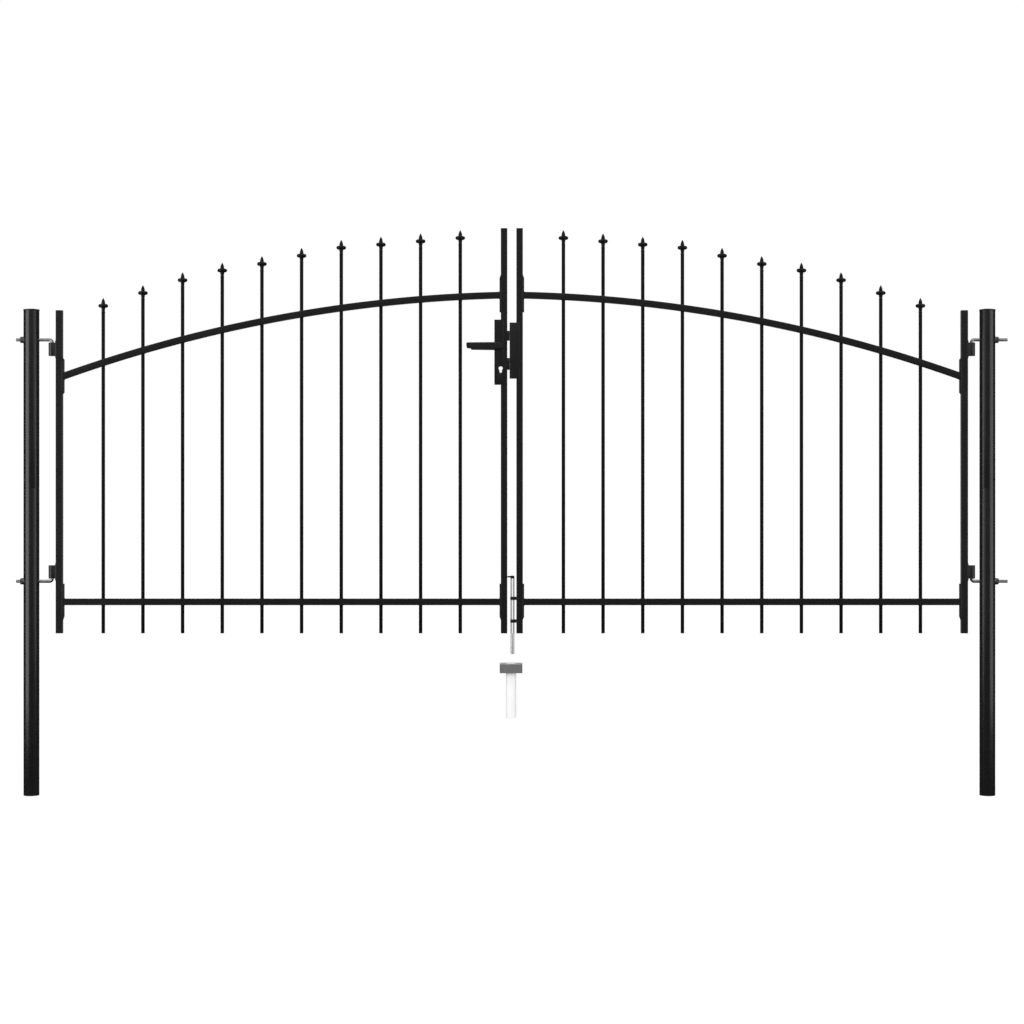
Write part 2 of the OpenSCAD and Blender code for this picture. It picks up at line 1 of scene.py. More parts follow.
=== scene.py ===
import bmesh
import bpy
import math
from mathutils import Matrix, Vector


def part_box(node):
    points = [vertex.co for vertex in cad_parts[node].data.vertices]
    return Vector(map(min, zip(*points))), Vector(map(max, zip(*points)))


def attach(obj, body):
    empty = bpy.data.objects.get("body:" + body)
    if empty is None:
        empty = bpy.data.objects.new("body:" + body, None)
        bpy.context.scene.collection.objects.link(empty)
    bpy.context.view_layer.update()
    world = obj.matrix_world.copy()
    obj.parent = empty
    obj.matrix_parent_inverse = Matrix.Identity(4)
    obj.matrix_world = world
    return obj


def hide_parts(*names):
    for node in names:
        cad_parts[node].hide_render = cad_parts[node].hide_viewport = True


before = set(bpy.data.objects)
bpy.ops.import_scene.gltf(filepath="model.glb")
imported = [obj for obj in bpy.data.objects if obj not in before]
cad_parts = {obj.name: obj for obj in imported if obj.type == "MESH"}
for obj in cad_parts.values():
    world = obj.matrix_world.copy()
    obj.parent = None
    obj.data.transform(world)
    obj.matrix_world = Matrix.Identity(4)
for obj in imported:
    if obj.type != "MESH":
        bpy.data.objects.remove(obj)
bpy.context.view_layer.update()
mm = 0.001


# node helpers

def addNode(tree, kind, inputs=None, **settings):
    node = tree.nodes.new("ShaderNode" + kind)
    for key, value in settings.items():
        setattr(node, key, value)
    for key, value in (inputs or {}).items():
        if isinstance(value, bpy.types.NodeSocket):
            tree.links.new(value, node.inputs[key])
        else:
            node.inputs[key].default_value = value
    return node


def mathOf(tree, operation, *values, **settings):
    node = addNode(tree, "Math", dict(enumerate(values)), operation=operation, **settings)
    return node.outputs[0]


def newGroup(name, inputs, outputs):
    group = bpy.data.node_groups.new(name, "ShaderNodeTree")
    for label, value in inputs.items():
        socket = group.interface.new_socket(label, in_out="INPUT", socket_type="NodeSocketFloat")
        socket.default_value = value
    for label in outputs:
        group.interface.new_socket(label, in_out="OUTPUT", socket_type="NodeSocketFloat")
    entry = group.nodes.new("NodeGroupInput")
    leave = group.nodes.new("NodeGroupOutput")
    return group, entry.outputs, leave.inputs


def placeGroup(tree, name, **values):
    node = tree.nodes.new("ShaderNodeGroup")
    node.node_tree = bpy.data.node_groups[name]
    for label, value in values.items():
        node.inputs[label].default_value = value
    return node.outputs


def noiseAt(tree, size, detail, rough):  # in object space, with lumps about size across
    coord = addNode(tree, "TexCoord").outputs["Object"]
    scale = mathOf(tree, "DIVIDE", 1.0, size)
    wave = {"Vector": coord, "Scale": scale, "Detail": detail, "Roughness": rough}
    return addNode(tree, "TexNoise", wave).outputs[0]


def mapValue(tree, value, fromLow, fromHigh, toLow, toHigh):
    ends = {"Value": value, "From Min": fromLow, "From Max": fromHigh,
            "To Min": toLow, "To Max": toHigh}
    return addNode(tree, "MapRange", ends, clamp=True).outputs[0]


# shared effects

peelLook = {"size": 1.4 * mm, "detail": 1.5, "rough": 0.45}
driftLook = {"size": 0.06, "detail": 4.0, "rough": 0.6, "noiseLow": 0.3, "noiseHigh": 0.7,
             "low": 0.4, "high": 0.5}
dustAndTopLightLook = {"amount": 0.3, "patch": 0.012, "detail": 5.0, "rough": 0.65, "steepest": 0.45,
            "noiseLow": 0.35, "noiseHigh": 0.7, "thinnest": 0.2}
rubLook = {"size": 0.02, "width": 0.012, "cover": 0.5, "detail": 3.0, "rough": 0.55, "middle": 0.5,
           "spotSize": 0.05, "spotDetail": 2.0, "spotRough": 0.5, "spotLow": 0.5, "spotHigh": 0.62}


def makeOrangePeel():  # the fine dimples of a sprayed and baked coat
    group, entry, leave = newGroup("orangePeel", {"Size": peelLook["size"]}, ["Height"])
    dimples = noiseAt(group, entry["Size"], peelLook["detail"], peelLook["rough"])
    group.links.new(dimples, leave["Height"])


def makeFinishDrift():  # slow change of gloss or tone along a surface
    starts = {"Size": driftLook["size"], "Low": driftLook["low"], "High": driftLook["high"]}
    group, entry, leave = newGroup("finishDrift", starts, ["Value"])
    lumps = noiseAt(group, entry["Size"], driftLook["detail"], driftLook["rough"])
    value = mapValue(group, lumps, driftLook["noiseLow"], driftLook["noiseHigh"],
                     entry["Low"], entry["High"])
    group.links.new(value, leave["Value"])


def makeDustAndTopLight():  # dust on what faces up, in patches; heavy on the socket block, where it is painted top light
    starts = {"Amount": dustAndTopLightLook["amount"], "Patch": dustAndTopLightLook["patch"]}
    group, entry, leave = newGroup("settledDust", starts, ["Mask"])
    normal = addNode(group, "NewGeometry").outputs["Normal"]
    upward = addNode(group, "SeparateXYZ", {"Vector": normal}).outputs["Z"]
    level = mapValue(group, upward, dustAndTopLightLook["steepest"], 1.0, 0.0, 1.0)
    lumps = noiseAt(group, entry["Patch"], dustAndTopLightLook["detail"], dustAndTopLightLook["rough"])
    patch = mapValue(group, lumps, dustAndTopLightLook["noiseLow"], dustAndTopLightLook["noiseHigh"],
                     dustAndTopLightLook["thinnest"], 1.0)
    both = mathOf(group, "MULTIPLY", level, patch)
    group.links.new(mathOf(group, "MULTIPLY", both, entry["Amount"]), leave["Mask"])


def makeRubMarks():  # thin wandering lines where things have brushed past
    starts = {"Size": rubLook["size"], "Width": rubLook["width"], "Cover": rubLook["cover"]}
    group, entry, leave = newGroup("rubMarks", starts, ["Mask"])
    swirl = noiseAt(group, entry["Size"], rubLook["detail"], rubLook["rough"])
    away = mathOf(group, "SUBTRACT", swirl, rubLook["middle"])
    far = mathOf(group, "ABSOLUTE", away)
    line = mapValue(group, far, 0.0, entry["Width"], 1.0, 0.0)
    spots = noiseAt(group, rubLook["spotSize"], rubLook["spotDetail"], rubLook["spotRough"])
    where = mapValue(group, spots, rubLook["spotLow"], rubLook["spotHigh"], 0.0, 1.0)
    marks = mathOf(group, "MULTIPLY", line, where)
    group.links.new(mathOf(group, "MULTIPLY", marks, entry["Cover"]), leave["Mask"])


makeOrangePeel()
makeFinishDrift()
makeDustAndTopLight()
makeRubMarks()


# finishes

def newMaterial(name):
    material = bpy.data.materials.new(name)
    material.use_nodes = True
    tree = material.node_tree
    return material, tree, tree.nodes["Principled BSDF"]


def mixColour(tree, share, first, second):
    ends = {"Factor": share, 6: first, 7: second}
    return addNode(tree, "Mix", ends, data_type="RGBA").outputs[2]


def addGloss(tree, shader, look, size, **rubSize):  # drifting roughness, with rubs on top
    gloss = placeGroup(tree, "finishDrift", Size=size, Low=look["smooth"], High=look["rough"])
    rubs = placeGroup(tree, "rubMarks", Cover=look["rubs"], **rubSize)
    worn = mathOf(tree, "ADD", gloss["Value"], rubs["Mask"], use_clamp=True)
    tree.links.new(worn, shader.inputs["Roughness"])


def addBump(tree, shader, height, depth):
    bump = addNode(tree, "Bump", {"Height": height, "Distance": depth, "Strength": 1.0})
    tree.links.new(bump.outputs[0], shader.inputs["Normal"])


def grey(value, warm=0.0):
    return (value * (1 + warm), value, value * (1 - warm), 1.0)


coatSkin = {"dustWarmth": 0.02, "glossShare": 0.4}  # gloss drifts in smaller lumps than tone
metalSkin = {"rubSize": 0.008, "glossShare": 0.5, "lineDetail": 3.0, "rimBlend": 0.5}


def coatFinish(name, look):  # sprayed or moulded: tone, gloss, dust with painted top light, rubs and a fine skin
    material, tree, shader = newMaterial(name)
    drift = placeGroup(tree, "finishDrift", Size=look["driftSize"], Low=0.0, High=1.0)["Value"]
    tone = mixColour(tree, drift, grey(look["dark"]), grey(look["light"]))
    dust = placeGroup(tree, "settledDust", Amount=look["dust"])["Mask"]
    tone = mixColour(tree, dust, tone, grey(look["dustTone"], coatSkin["dustWarmth"]))
    tree.links.new(tone, shader.inputs["Base Color"])
    addGloss(tree, shader, look, look["driftSize"] * coatSkin["glossShare"])
    peel = placeGroup(tree, "orangePeel", Size=look["skinSize"])["Height"]
    addBump(tree, shader, peel, look["skinDepth"])
    shader.inputs["Specular IOR Level"].default_value = look["shine"]
    return material


sprayed = {"dark": 0.0055, "light": 0.0075, "dust": 0.02, "dustTone": 0.05, "rubs": 0.06,
           "shine": 0.45, "skinSize": 1.2 * mm, "skinDepth": 0.004 * mm}
blackCoat = coatFinish("satinBlackCoat", {
    **sprayed, "driftSize": 0.09, "smooth": 0.24, "rough": 0.3, "skinSize": 1.4 * mm})
sleeveCoat = coatFinish("dullBlackCoat", {
    **sprayed, "driftSize": 0.05, "smooth": 0.39, "rough": 0.45})
picketCoat = coatFinish("deepBlackCoat", {
    **sprayed, "dark": 0.0025, "light": 0.004, "driftSize": 0.07, "smooth": 0.3, "rough": 0.38,
    "shine": 0.1})
lockCoat = coatFinish("lockBlackCoat", {
    **sprayed, "dark": 0.0065, "light": 0.0085, "driftSize": 0.05, "smooth": 0.28, "rough": 0.35,
    "rubs": 0.08, "skinSize": 1.0 * mm, "skinDepth": 0.006 * mm})
spearCoat = coatFinish("castBlackCoat", {
    **sprayed, "dark": 0.003, "light": 0.0045, "driftSize": 0.02, "smooth": 0.34, "rough": 0.42,
    "rubs": 0.08, "shine": 0.18, "skinSize": 0.9 * mm, "skinDepth": 0.02 * mm})
capPlastic = coatFinish("matteBlackPlastic", {
    "dark": 0.005, "light": 0.007, "dust": 0.08, "dustTone": 0.08, "driftSize": 0.03,
    "smooth": 0.45, "rough": 0.56, "rubs": 0.14, "shine": 0.35,
    "skinSize": 0.45 * mm, "skinDepth": 0.03 * mm})
# painted highlight: the dense pale layer on the block's upward faces stands in for light falling on
# its top, besides some dust
blockPlastic = coatFinish("greySocketBlock", {
    "dark": 0.115, "light": 0.145, "dust": 0.9, "dustTone": 0.72, "driftSize": 0.018,
    "smooth": 0.58, "rough": 0.74, "rubs": 0.15, "shine": 0.35,
    "skinSize": 1.1 * mm, "skinDepth": 0.16 * mm})
tubePlastic = coatFinish("whiteSocketTube", {
    "dark": 0.88, "light": 0.93, "dust": 0.1, "dustTone": 0.6, "driftSize": 0.04,
    "smooth": 0.34, "rough": 0.46, "rubs": 0.12, "shine": 0.5,
    "skinSize": 2.5 * mm, "skinDepth": 0.04 * mm})


def metalFinish(name, look):  # bare or plated steel: cloudy tint, drawn lines and rubs
    material, tree, shader = newMaterial(name)
    cloud = placeGroup(tree, "finishDrift", Size=look["cloudSize"], Low=0.0, High=1.0)["Value"]
    tone = mixColour(tree, cloud, look["cool"], look["warm"])
    if "rim" in look:  # painted reflection: the base colour turns dark towards the edges, standing in for the dark surroundings a bright bar would mirror
        facing = addNode(tree, "LayerWeight", {"Blend": metalSkin["rimBlend"]}).outputs["Facing"]
        share = mapValue(tree, facing, *look["rim"], 0.0, 1.0)
        tone = mixColour(tree, share, tone, grey(look["rimTone"]))
    tree.links.new(tone, shader.inputs["Base Color"])
    addGloss(tree, shader, look, look["cloudSize"] * metalSkin["glossShare"],
             Size=metalSkin["rubSize"])
    coord = addNode(tree, "TexCoord").outputs["Object"]
    stretch = addNode(tree, "Mapping", {"Vector": coord, "Scale": look["drawn"]}).outputs[0]
    wave = {"Vector": stretch, "Scale": 1.0, "Detail": metalSkin["lineDetail"]}
    addBump(tree, shader, addNode(tree, "TexNoise", wave).outputs[0], look["lineDepth"])
    shader.inputs["Metallic"].default_value = look["metal"]
    return material


zincPlate = metalFinish("zincPlate", {
    "cool": (0.4, 0.412, 0.43, 1), "warm": (0.33, 0.326, 0.315, 1), "cloudSize": 0.006,
    "smooth": 0.3, "rough": 0.44, "rubs": 0.2, "metal": 1.0,
    "drawn": (160, 1600, 1600), "lineDepth": 0.012 * mm})
# painted shade: a darker copy of the zinc plate, standing in for the dark the nuts and washers show
# in their reflections
zincNutPaintedShade = metalFinish("dullZincNut", {
    "cool": (0.16, 0.165, 0.173, 1), "warm": (0.125, 0.123, 0.119, 1), "cloudSize": 0.005,
    "smooth": 0.26, "rough": 0.36, "rubs": 0.15, "metal": 1.0,
    "drawn": (400, 400, 400), "lineDepth": 0.01 * mm})
drawnBar = {"cloudSize": 0.03, "smooth": 0.28, "rough": 0.33, "rubs": 0.04,
            "drawn": (1500, 1500, 30), "lineDepth": 0.0008 * mm}
rodSteel = metalFinish("drawnRodSteel", {
    **drawnBar, "cool": (0.6, 0.61, 0.62, 1), "warm": (0.55, 0.55, 0.545, 1), "metal": 0.5})
# painted reflection: a light base with little metal stands in for the bright shine of the chrome
# bar
rodPaintedReflection = metalFinish("polishedRodSteel", {
    **drawnBar, "cool": (0.86, 0.865, 0.87, 1), "warm": (0.82, 0.82, 0.815, 1), "metal": 0.15,
    "rim": (0.06, 0.2), "rimTone": 0.01})
latchSteel = metalFinish("darkLatchSteel", {
    "cool": (0.1, 0.1, 0.106, 1), "warm": (0.075, 0.073, 0.07, 1), "cloudSize": 0.005,
    "smooth": 0.34, "rough": 0.48, "rubs": 0.2, "metal": 1.0,
    "drawn": (120, 1500, 1500), "lineDepth": 0.012 * mm})
print("finishes:", len(bpy.data.materials))


# mesh helpers

axisFrames = {
    "x": (Vector((1, 0, 0)), Vector((0, 1, 0)), Vector((0, 0, 1))),
    "y": (Vector((0, 1, 0)), Vector((1, 0, 0)), Vector((0, 0, 1))),
    "z": (Vector((0, 0, 1)), Vector((1, 0, 0)), Vector((0, 1, 0))),
}
limits = {"onAxis": 1e-7, "cutShare": 0.48, "sharpTurn": 0.3}


def joinRows(bm, rows, loop=False, capEnds=True):
    pairs = list(zip(rows, rows[1:]))
    if loop:
        pairs.append((rows[-1], rows[0]))
    for low, high in pairs:
        count = max(len(low), len(high))
        for i in range(count):
            j = (i + 1) % count
            if len(low) == 1:
                bm.faces.new((low[0], high[j], high[i]))
            elif len(high) == 1:
                bm.faces.new((low[i], low[j], high[0]))
            else:
                bm.faces.new((low[i], low[j], high[j], high[i]))
    if capEnds and not loop:
        for row in (rows[0], rows[-1]):
            if len(row) > 2:
                bm.faces.new(row)


def addRings(bm, rings, **how):
    joinRows(bm, [[bm.verts.new(point) for point in ring] for ring in rings], **how)


def fullTurn(steps):
    return [math.tau * i / steps for i in range(steps)]


def addTurned(bm, profile, centre, steps, axis="z", loop=False):  # profile is (radius, way along)
    along, side, up = axisFrames[axis]
    rings = []
    for radius, way in profile:
        middle = Vector(centre) + along * way
        if radius < limits["onAxis"]:
            rings.append([middle])
            continue
        turns = fullTurn(steps)
        rings.append([middle + radius * (side * math.cos(t) + up * math.sin(t)) for t in turns])
    addRings(bm, rings, loop=loop)


def turnedMesh(profile, x, steps):
    bm = bmesh.new()
    addTurned(bm, profile, (x, 0, 0), steps=steps)
    return bm


def arcPoints(a, b, radius, start, end, steps):
    turns = [math.radians(start + (end - start) * i / steps) for i in range(steps + 1)]
    return [(a + radius * math.cos(t), b + radius * math.sin(t)) for t in turns]


def circlePoints(a, b, radius, steps):
    return arcPoints(a, b, radius, 0, 360 - 360 / steps, steps - 1)


def roundedRect(a0, b0, a1, b1, radius, steps=4):
    corners = [(a1, b0, -90), (a1, b1, 0), (a0, b1, 90), (a0, b0, 180)]
    points = []
    for a, b, start in corners:
        inA = a - math.copysign(radius, a - (a0 + a1) / 2)
        inB = b - math.copysign(radius, b - (b0 + b1) / 2)
        points += arcPoints(inA, inB, radius, start, start + 90, steps)
    return points


def filleted(corners, steps=4, closed=False):  # corners are (a, b, radius of the arc there)
    points = []
    count = len(corners)
    for i, (a, b, radius) in enumerate(corners):
        here = Vector((a, b))
        if not radius or (not closed and i in (0, count - 1)):
            points.append(tuple(here))
            continue
        back = Vector(corners[i - 1][:2]) - here
        ahead = Vector(corners[(i + 1) % count][:2]) - here
        half = back.angle(ahead) / 2
        shorter = min(back.length, ahead.length)
        cut = min(radius / math.tan(half), limits["cutShare"] * shorter)
        inward = (back.normalized() + ahead.normalized()).normalized()
        middle = here + inward * (cut / math.cos(half))
        first = here + back.normalized() * cut - middle
        last = here + ahead.normalized() * cut - middle
        start = math.atan2(first.y, first.x)
        turn = (math.atan2(last.y, last.x) - start + math.pi) % math.tau - math.pi
        points += arcPoints(*middle, first.length, math.degrees(start),
                            math.degrees(start + turn), steps)
    return points


def insetLoop(loop, distance):  # a closed outline, anticlockwise, moved inwards
    moved = []
    count = len(loop)
    for i in range(count):
        back, here, ahead = Vector(loop[i - 1]), Vector(loop[i]), Vector(loop[(i + 1) % count])
        first = (here - back).normalized()
        second = (ahead - here).normalized()
        normal = Vector((-first.y, first.x))
        middle = (normal + Vector((-second.y, second.x))).normalized()
        moved.append(here + middle * (distance / max(limits["sharpTurn"], middle.dot(normal))))
    return moved


def addPlate(bm, outline, low, high, edge, axis="y", holes=(), edgeSteps=3):  # with round edges
    def place(point, way):
        return {"x": (way, *point), "y": (point[0], way, point[1]), "z": (*point, way)}[axis]

    quarter = [math.pi / 2 * k / edgeSteps for k in range(edgeSteps + 1)]
    rim = [(edge * (1 - math.sin(t)), low + edge * (1 - math.cos(t))) for t in quarter]
    levels = rim + [(inset, low + high - way) for inset, way in reversed(rim)]
    walls = []
    for loop, sense in [(outline, 1)] + [(hole, -1) for hole in holes]:
        rows = []
        for inset, way in levels:
            rows.append([bm.verts.new(place(p, way)) for p in insetLoop(loop, sense * inset)])
        joinRows(bm, rows, capEnds=False)
        walls.append(rows)
    for end in (0, -1):
        edges = []
        for rows in walls:
            row = rows[end]
            edges += [bm.edges.get((row[i - 1], row[i])) for i in range(len(row))]
        bmesh.ops.triangle_fill(bm, edges=edges, use_beauty=True)


def addTube(bm, path, radiusAt, steps, closed=False):  # round bar along points, radiusAt(i)
    rings = []
    count = len(path)
    side = None
    for i, point in enumerate(path):
        back = path[i - 1] if closed or i else point
        ahead = path[(i + 1) % count] if closed or i + 1 < count else point
        along = (ahead - back).normalized()
        if side is None:
            side = along.orthogonal().normalized()
        side = (side - along * side.dot(along)).normalized()
        up = along.cross(side)
        radius = radiusAt(i)
        turns = fullTurn(steps)
        rings.append([point + radius * (side * math.cos(t) + up * math.sin(t)) for t in turns])
    addRings(bm, rings, loop=closed)


def makePiece(name, bm, body, slot, material, *nodes, sharp=32):
    bmesh.ops.recalc_face_normals(bm, faces=bm.faces)
    mesh = bpy.data.meshes.new(name)
    bm.to_mesh(mesh)
    bm.free()
    mesh.shade_smooth()
    mesh.set_sharp_from_angle(angle=math.radians(sharp))
    mesh.materials.append(material)
    piece = bpy.data.objects.new(name, mesh)
    bpy.context.scene.collection.objects.link(piece)
    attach(piece, body)
    if nodes:
        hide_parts(*nodes)


midX = (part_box("left_meeting_stile")[1].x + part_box("right_meeting_stile")[0].x) / 2


def leafMesh(side, build):  # built as the left leaf, mirrored for the right
    bm = bmesh.new()
    build(bm)
    if side == "right":
        for vert in bm.verts:
            vert.co.x = 2 * midX - vert.co.x
    return bm


# posts and caps

post = {"wall": 2 * mm, "footRound": 1 * mm, "seamAt": 0.948, "seamWidth": 1.2 * mm,
        "seamDepth": 0.4 * mm, "soft": 0.15 * mm, "openDepth": 30 * mm, "steps": 96}
cap = {"rim": 4 * mm, "rimRound": 1.3 * mm, "underRound": 0.4 * mm, "domeIn": 1 * mm,
       "domeSteps": 8, "steps": 96}


def makePost(side):
    low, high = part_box(side + "_post")
    radius = (high.x - low.x) / 2
    inner = radius - post["wall"]
    groove = radius - post["seamDepth"]
    seamLow = post["seamAt"] - post["seamWidth"] / 2
    seamHigh = post["seamAt"] + post["seamWidth"] / 2
    openZ = high.z - post["openDepth"]  # hollow down to here, under the cap
    soft = post["soft"]
    profile = filleted([
        (0, 0, 0), (radius, 0, post["footRound"]), (radius, seamLow, soft),
        (groove, seamLow, soft), (groove, seamHigh, soft), (radius, seamHigh, soft),
        (radius, high.z, soft), (inner, high.z, soft), (inner, openZ, 0), (0, openZ, 0)])
    bm = turnedMesh(profile, (low.x + high.x) / 2, post["steps"])
    makePiece(side + "PostTube", bm, "posts", "black_coat", blackCoat, side + "_post")


def makeCap(side):
    low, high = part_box(side + "_post_cap")
    radius = (high.x - low.x) / 2
    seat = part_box(side + "_post")[1].z
    rimTop = seat + cap["rim"]
    dome = radius - cap["rimRound"] - cap["domeIn"]
    profile = filleted([(0, seat, 0), (radius, seat, cap["underRound"]),
                        (radius, rimTop, cap["rimRound"]), (dome, rimTop, 0)])
    for k in range(1, cap["domeSteps"] + 1):
        share = k / cap["domeSteps"]
        rise = 1 - (1 - share) ** 2
        profile.append((dome * (1 - share), rimTop + (high.z - rimTop) * rise))
    bm = turnedMesh(profile, (low.x + high.x) / 2, cap["steps"])
    makePiece(side + "PostCap", bm, "posts", "black_plastic", capPlastic, side + "_post_cap")


# hook bolts, nuts and washers

hook = {"bend": 8 * mm, "bendSteps": 12, "pitch": 1.5 * mm, "threadDepth": 0.6 * mm,
        "perPitch": 6, "chamfer": 1.2 * mm, "chamferShare": 0.8, "steps": 32}
nut = {"flats": 17 * mm, "height": 8 * mm, "chamferShare": 0.145, "chamferSteps": 4,
       "chamferRise": 0.577, "faceShare": 0.97, "bore": 4.6 * mm, "boreChamfer": 0.9 * mm,
       "steps": 72}
washer = {"radius": 10.5 * mm, "thick": 2 * mm, "bore": 5.4 * mm, "edge": 0.5 * mm,
          "gap": 0.02 * mm, "steps": 64}


def makeHookBolt(side, level):
    node = side + "_" + level + "_hook_bolt"
    low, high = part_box(node)
    radius = (high.y - low.y) / 2
    way = 1 if side == "left" else -1  # towards the leaf
    rise = 1 if level == "lower" else -1  # where the pin points
    tail = low.x if way > 0 else high.x
    pinX = high.x - radius if way > 0 else low.x + radius
    barZ = low.z + radius if rise > 0 else high.z - radius
    bend, chamfer = hook["bend"], hook["chamfer"]
    straight = abs(pinX - tail) - bend
    arc = bend * math.pi / 2
    total = straight + arc + (high.z - low.z) - radius - bend

    def pathAt(s):
        if s <= straight:
            return Vector((tail + way * s, 0, barZ)), Vector((way, 0, 0))
        if s <= straight + arc:
            t = (s - straight) / bend
            x = tail + way * (straight + bend * math.sin(t))
            z = barZ + rise * bend * (1 - math.cos(t))
            return Vector((x, 0, z)), Vector((way * math.cos(t), 0, rise * math.sin(t)))
        return Vector((pinX, 0, barZ + rise * (bend + s - straight - arc))), Vector((0, 0, rise))

    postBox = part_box(side + "_post")
    outerFace = abs((postBox[0].x if way > 0 else postBox[1].x) - tail)  # the post's outer side
    fine = hook["pitch"] / hook["perPitch"]
    stops = [0.0, chamfer]
    stops += [chamfer + fine * k for k in range(1, int((outerFace - chamfer) / fine))]
    stops += [straight + arc * k / hook["bendSteps"] for k in range(hook["bendSteps"] + 1)]
    stops += [total - chamfer, total]

    rings = []
    depthwise = Vector((0, 1, 0))
    for s in stops:
        point, along = pathAt(s)
        up = along.cross(depthwise)
        ring = []
        for t in fullTurn(hook["steps"]):
            size = radius
            if s in (0.0, total):
                size -= chamfer * hook["chamferShare"]
            elif chamfer <= s < outerFace - fine:
                share = (s / hook["pitch"] - t / math.tau) % 1
                size -= hook["threadDepth"] * abs(2 * share - 1)
            ring.append(point + size * (depthwise * math.cos(t) + up * math.sin(t)))
        rings.append(ring)
    bm = bmesh.new()
    addRings(bm, rings)
    name = side + level.capitalize() + "HookBolt"
    makePiece(name, bm, "posts", "zinc_steel", zincPlate, node, sharp=50)


def addNut(bm, seat, way, z):  # seat is the x of the face on the washer
    height, half = nut["height"], nut["flats"] / 2
    bore, cut = nut["bore"], nut["boreChamfer"]
    deepest = half / math.cos(math.pi / 6) * nut["chamferShare"]
    depths = [deepest * k / nut["chamferSteps"] for k in range(nut["chamferSteps"] + 1)]

    def across(turn, depth):
        flat = half / math.cos((turn + math.pi / 6) % (math.pi / 3) - math.pi / 6)
        return min(flat, half * nut["faceShare"] + depth / nut["chamferRise"])

    def ringAt(level, radius=None):  # the six sides at a level, or a circle
        ring = []
        for t in fullTurn(nut["steps"]):
            size = radius or across(t, min(level, height - level))
            ring.append(Vector((seat + way * level, size * math.cos(t), z + size * math.sin(t))))
        return ring

    rings = [ringAt(level) for level in depths + [height - d for d in reversed(depths)]]
    rings += [ringAt(height, bore + cut), ringAt(height - cut, bore),
              ringAt(cut, bore), ringAt(0, bore + cut)]
    addRings(bm, rings, loop=True)


def addWasher(bm, postX, postRadius, way, z):  # its back follows the round of the post
    bore, radius, edge = washer["bore"], washer["radius"], washer["edge"]
    front = postRadius + washer["thick"]
    rings = []
    for size, reach in ((bore, None), (bore, front), (radius - edge, front),
                        (radius, front - edge), (radius, None)):
        ring = []
        for t in fullTurn(washer["steps"]):
            y = size * math.cos(t)
            back = math.sqrt(postRadius ** 2 - y ** 2) + washer["gap"]
            x = back if reach is None else reach
            ring.append(Vector((postX + way * x, y, z + size * math.sin(t))))
        rings.append(ring)
    addRings(bm, rings, loop=True)


def makeHookNuts(side):
    low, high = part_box(side + "_post")
    postX, postRadius = (low.x + high.x) / 2, (high.x - low.x) / 2
    outer = -1 if side == "left" else 1
    bm = bmesh.new()
    for level in ("upper", "lower"):
        boltLow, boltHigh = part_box(side + "_" + level + "_hook_bolt")
        radius = (boltHigh.y - boltLow.y) / 2
        z = boltLow.z + radius if level == "lower" else boltHigh.z - radius
        addWasher(bm, postX, postRadius, outer, z)
        addNut(bm, postX + outer * (postRadius + washer["thick"]), outer, z)
    makePiece(side + "HookNuts", bm, "posts", "zinc_steel", zincNutPaintedShade, side + "_hook_nuts", sharp=24)


for side in ("left", "right"):
    makePost(side)
    makeCap(side)
    makeHookNuts(side)
    for level in ("upper", "lower"):
        makeHookBolt(side, level)
print("posts and hook bolts made")


# arched rails

railLow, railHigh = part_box("left_arched_rail")
arch = {"radius": 4310.29 * mm, "pastMiddle": 65 * mm, "cornerRound": 1.2 * mm, "stations": 72}
arch["topX"] = midX + arch["pastMiddle"]
tube = railHigh.y - railLow.y
archTop = arch["radius"] + tube / 2
archMiddleZ = railHigh.z - math.sqrt(archTop ** 2 - (arch["topX"] - railHigh.x) ** 2)


def archAt(x, off=0.0):  # height of the rail's middle line, or of a line off above it
    return archMiddleZ + math.sqrt((arch["radius"] + off) ** 2 - (x - arch["topX"]) ** 2)


def buildArchedRail(bm):
    half = tube / 2
    section = roundedRect(-half, -half, half, half, arch["cornerRound"])
    rings = []
    for k in range(arch["stations"] + 1):
        x = railLow.x + (railHigh.x - railLow.x) * k / arch["stations"]
        rings.append([Vector((x, y, archAt(x, off))) for y, off in section])
    addRings(bm, rings)


# pickets with their spear heads

picket = {"count": 10, "wall": 1 * mm, "endRound": 0.3 * mm, "endSteps": 2, "steps": 32}
spear = {"height": 46.5 * mm, "pointHeight": 18.5 * mm, "pointWidth": 12 * mm, "pointSteps": 8,
         "beadAt": 24.6 * mm, "beadMiddle": 9.5 * mm, "beadRound": 5.5 * mm, "beadFrom": 133,
         "beadTo": -122, "beadSteps": 20, "waistAt": 41 * mm, "waist": 5 * mm,
         "waistRound": 3 * mm, "collar": 5.9 * mm, "collarHeight": 2.5 * mm,
         "collarRound": 0.8 * mm, "footRound": 0.4 * mm, "steps": 48}
picketLow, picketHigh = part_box("left_pickets")
picketRadius = (picketHigh.y - picketLow.y) / 2
firstX, lastX = picketLow.x + picketRadius, picketHigh.x - picketRadius
picketGaps = picket["count"] - 1
picketXs = [firstX + (lastX - firstX) * i / picketGaps for i in range(picket["count"])]
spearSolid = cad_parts["left_spear_heads"].data.vertices
tipZs = [max(v.co.z for v in spearSolid if abs(v.co.x - x) < 2 * picketRadius) for x in picketXs]


def buildPickets(bm):
    soft = picket["endRound"]
    inner = picketRadius - picket["wall"]
    foot = picketLow.z
    for x, tipZ in zip(picketXs, tipZs):
        top = tipZ - spear["height"]
        outline = filleted([(picketRadius, foot, soft), (picketRadius, top, soft),
                            (inner, top, soft), (inner, foot, soft)],
                           steps=picket["endSteps"], closed=True)
        addTurned(bm, outline, (x, 0, 0), steps=picket["steps"], loop=True)


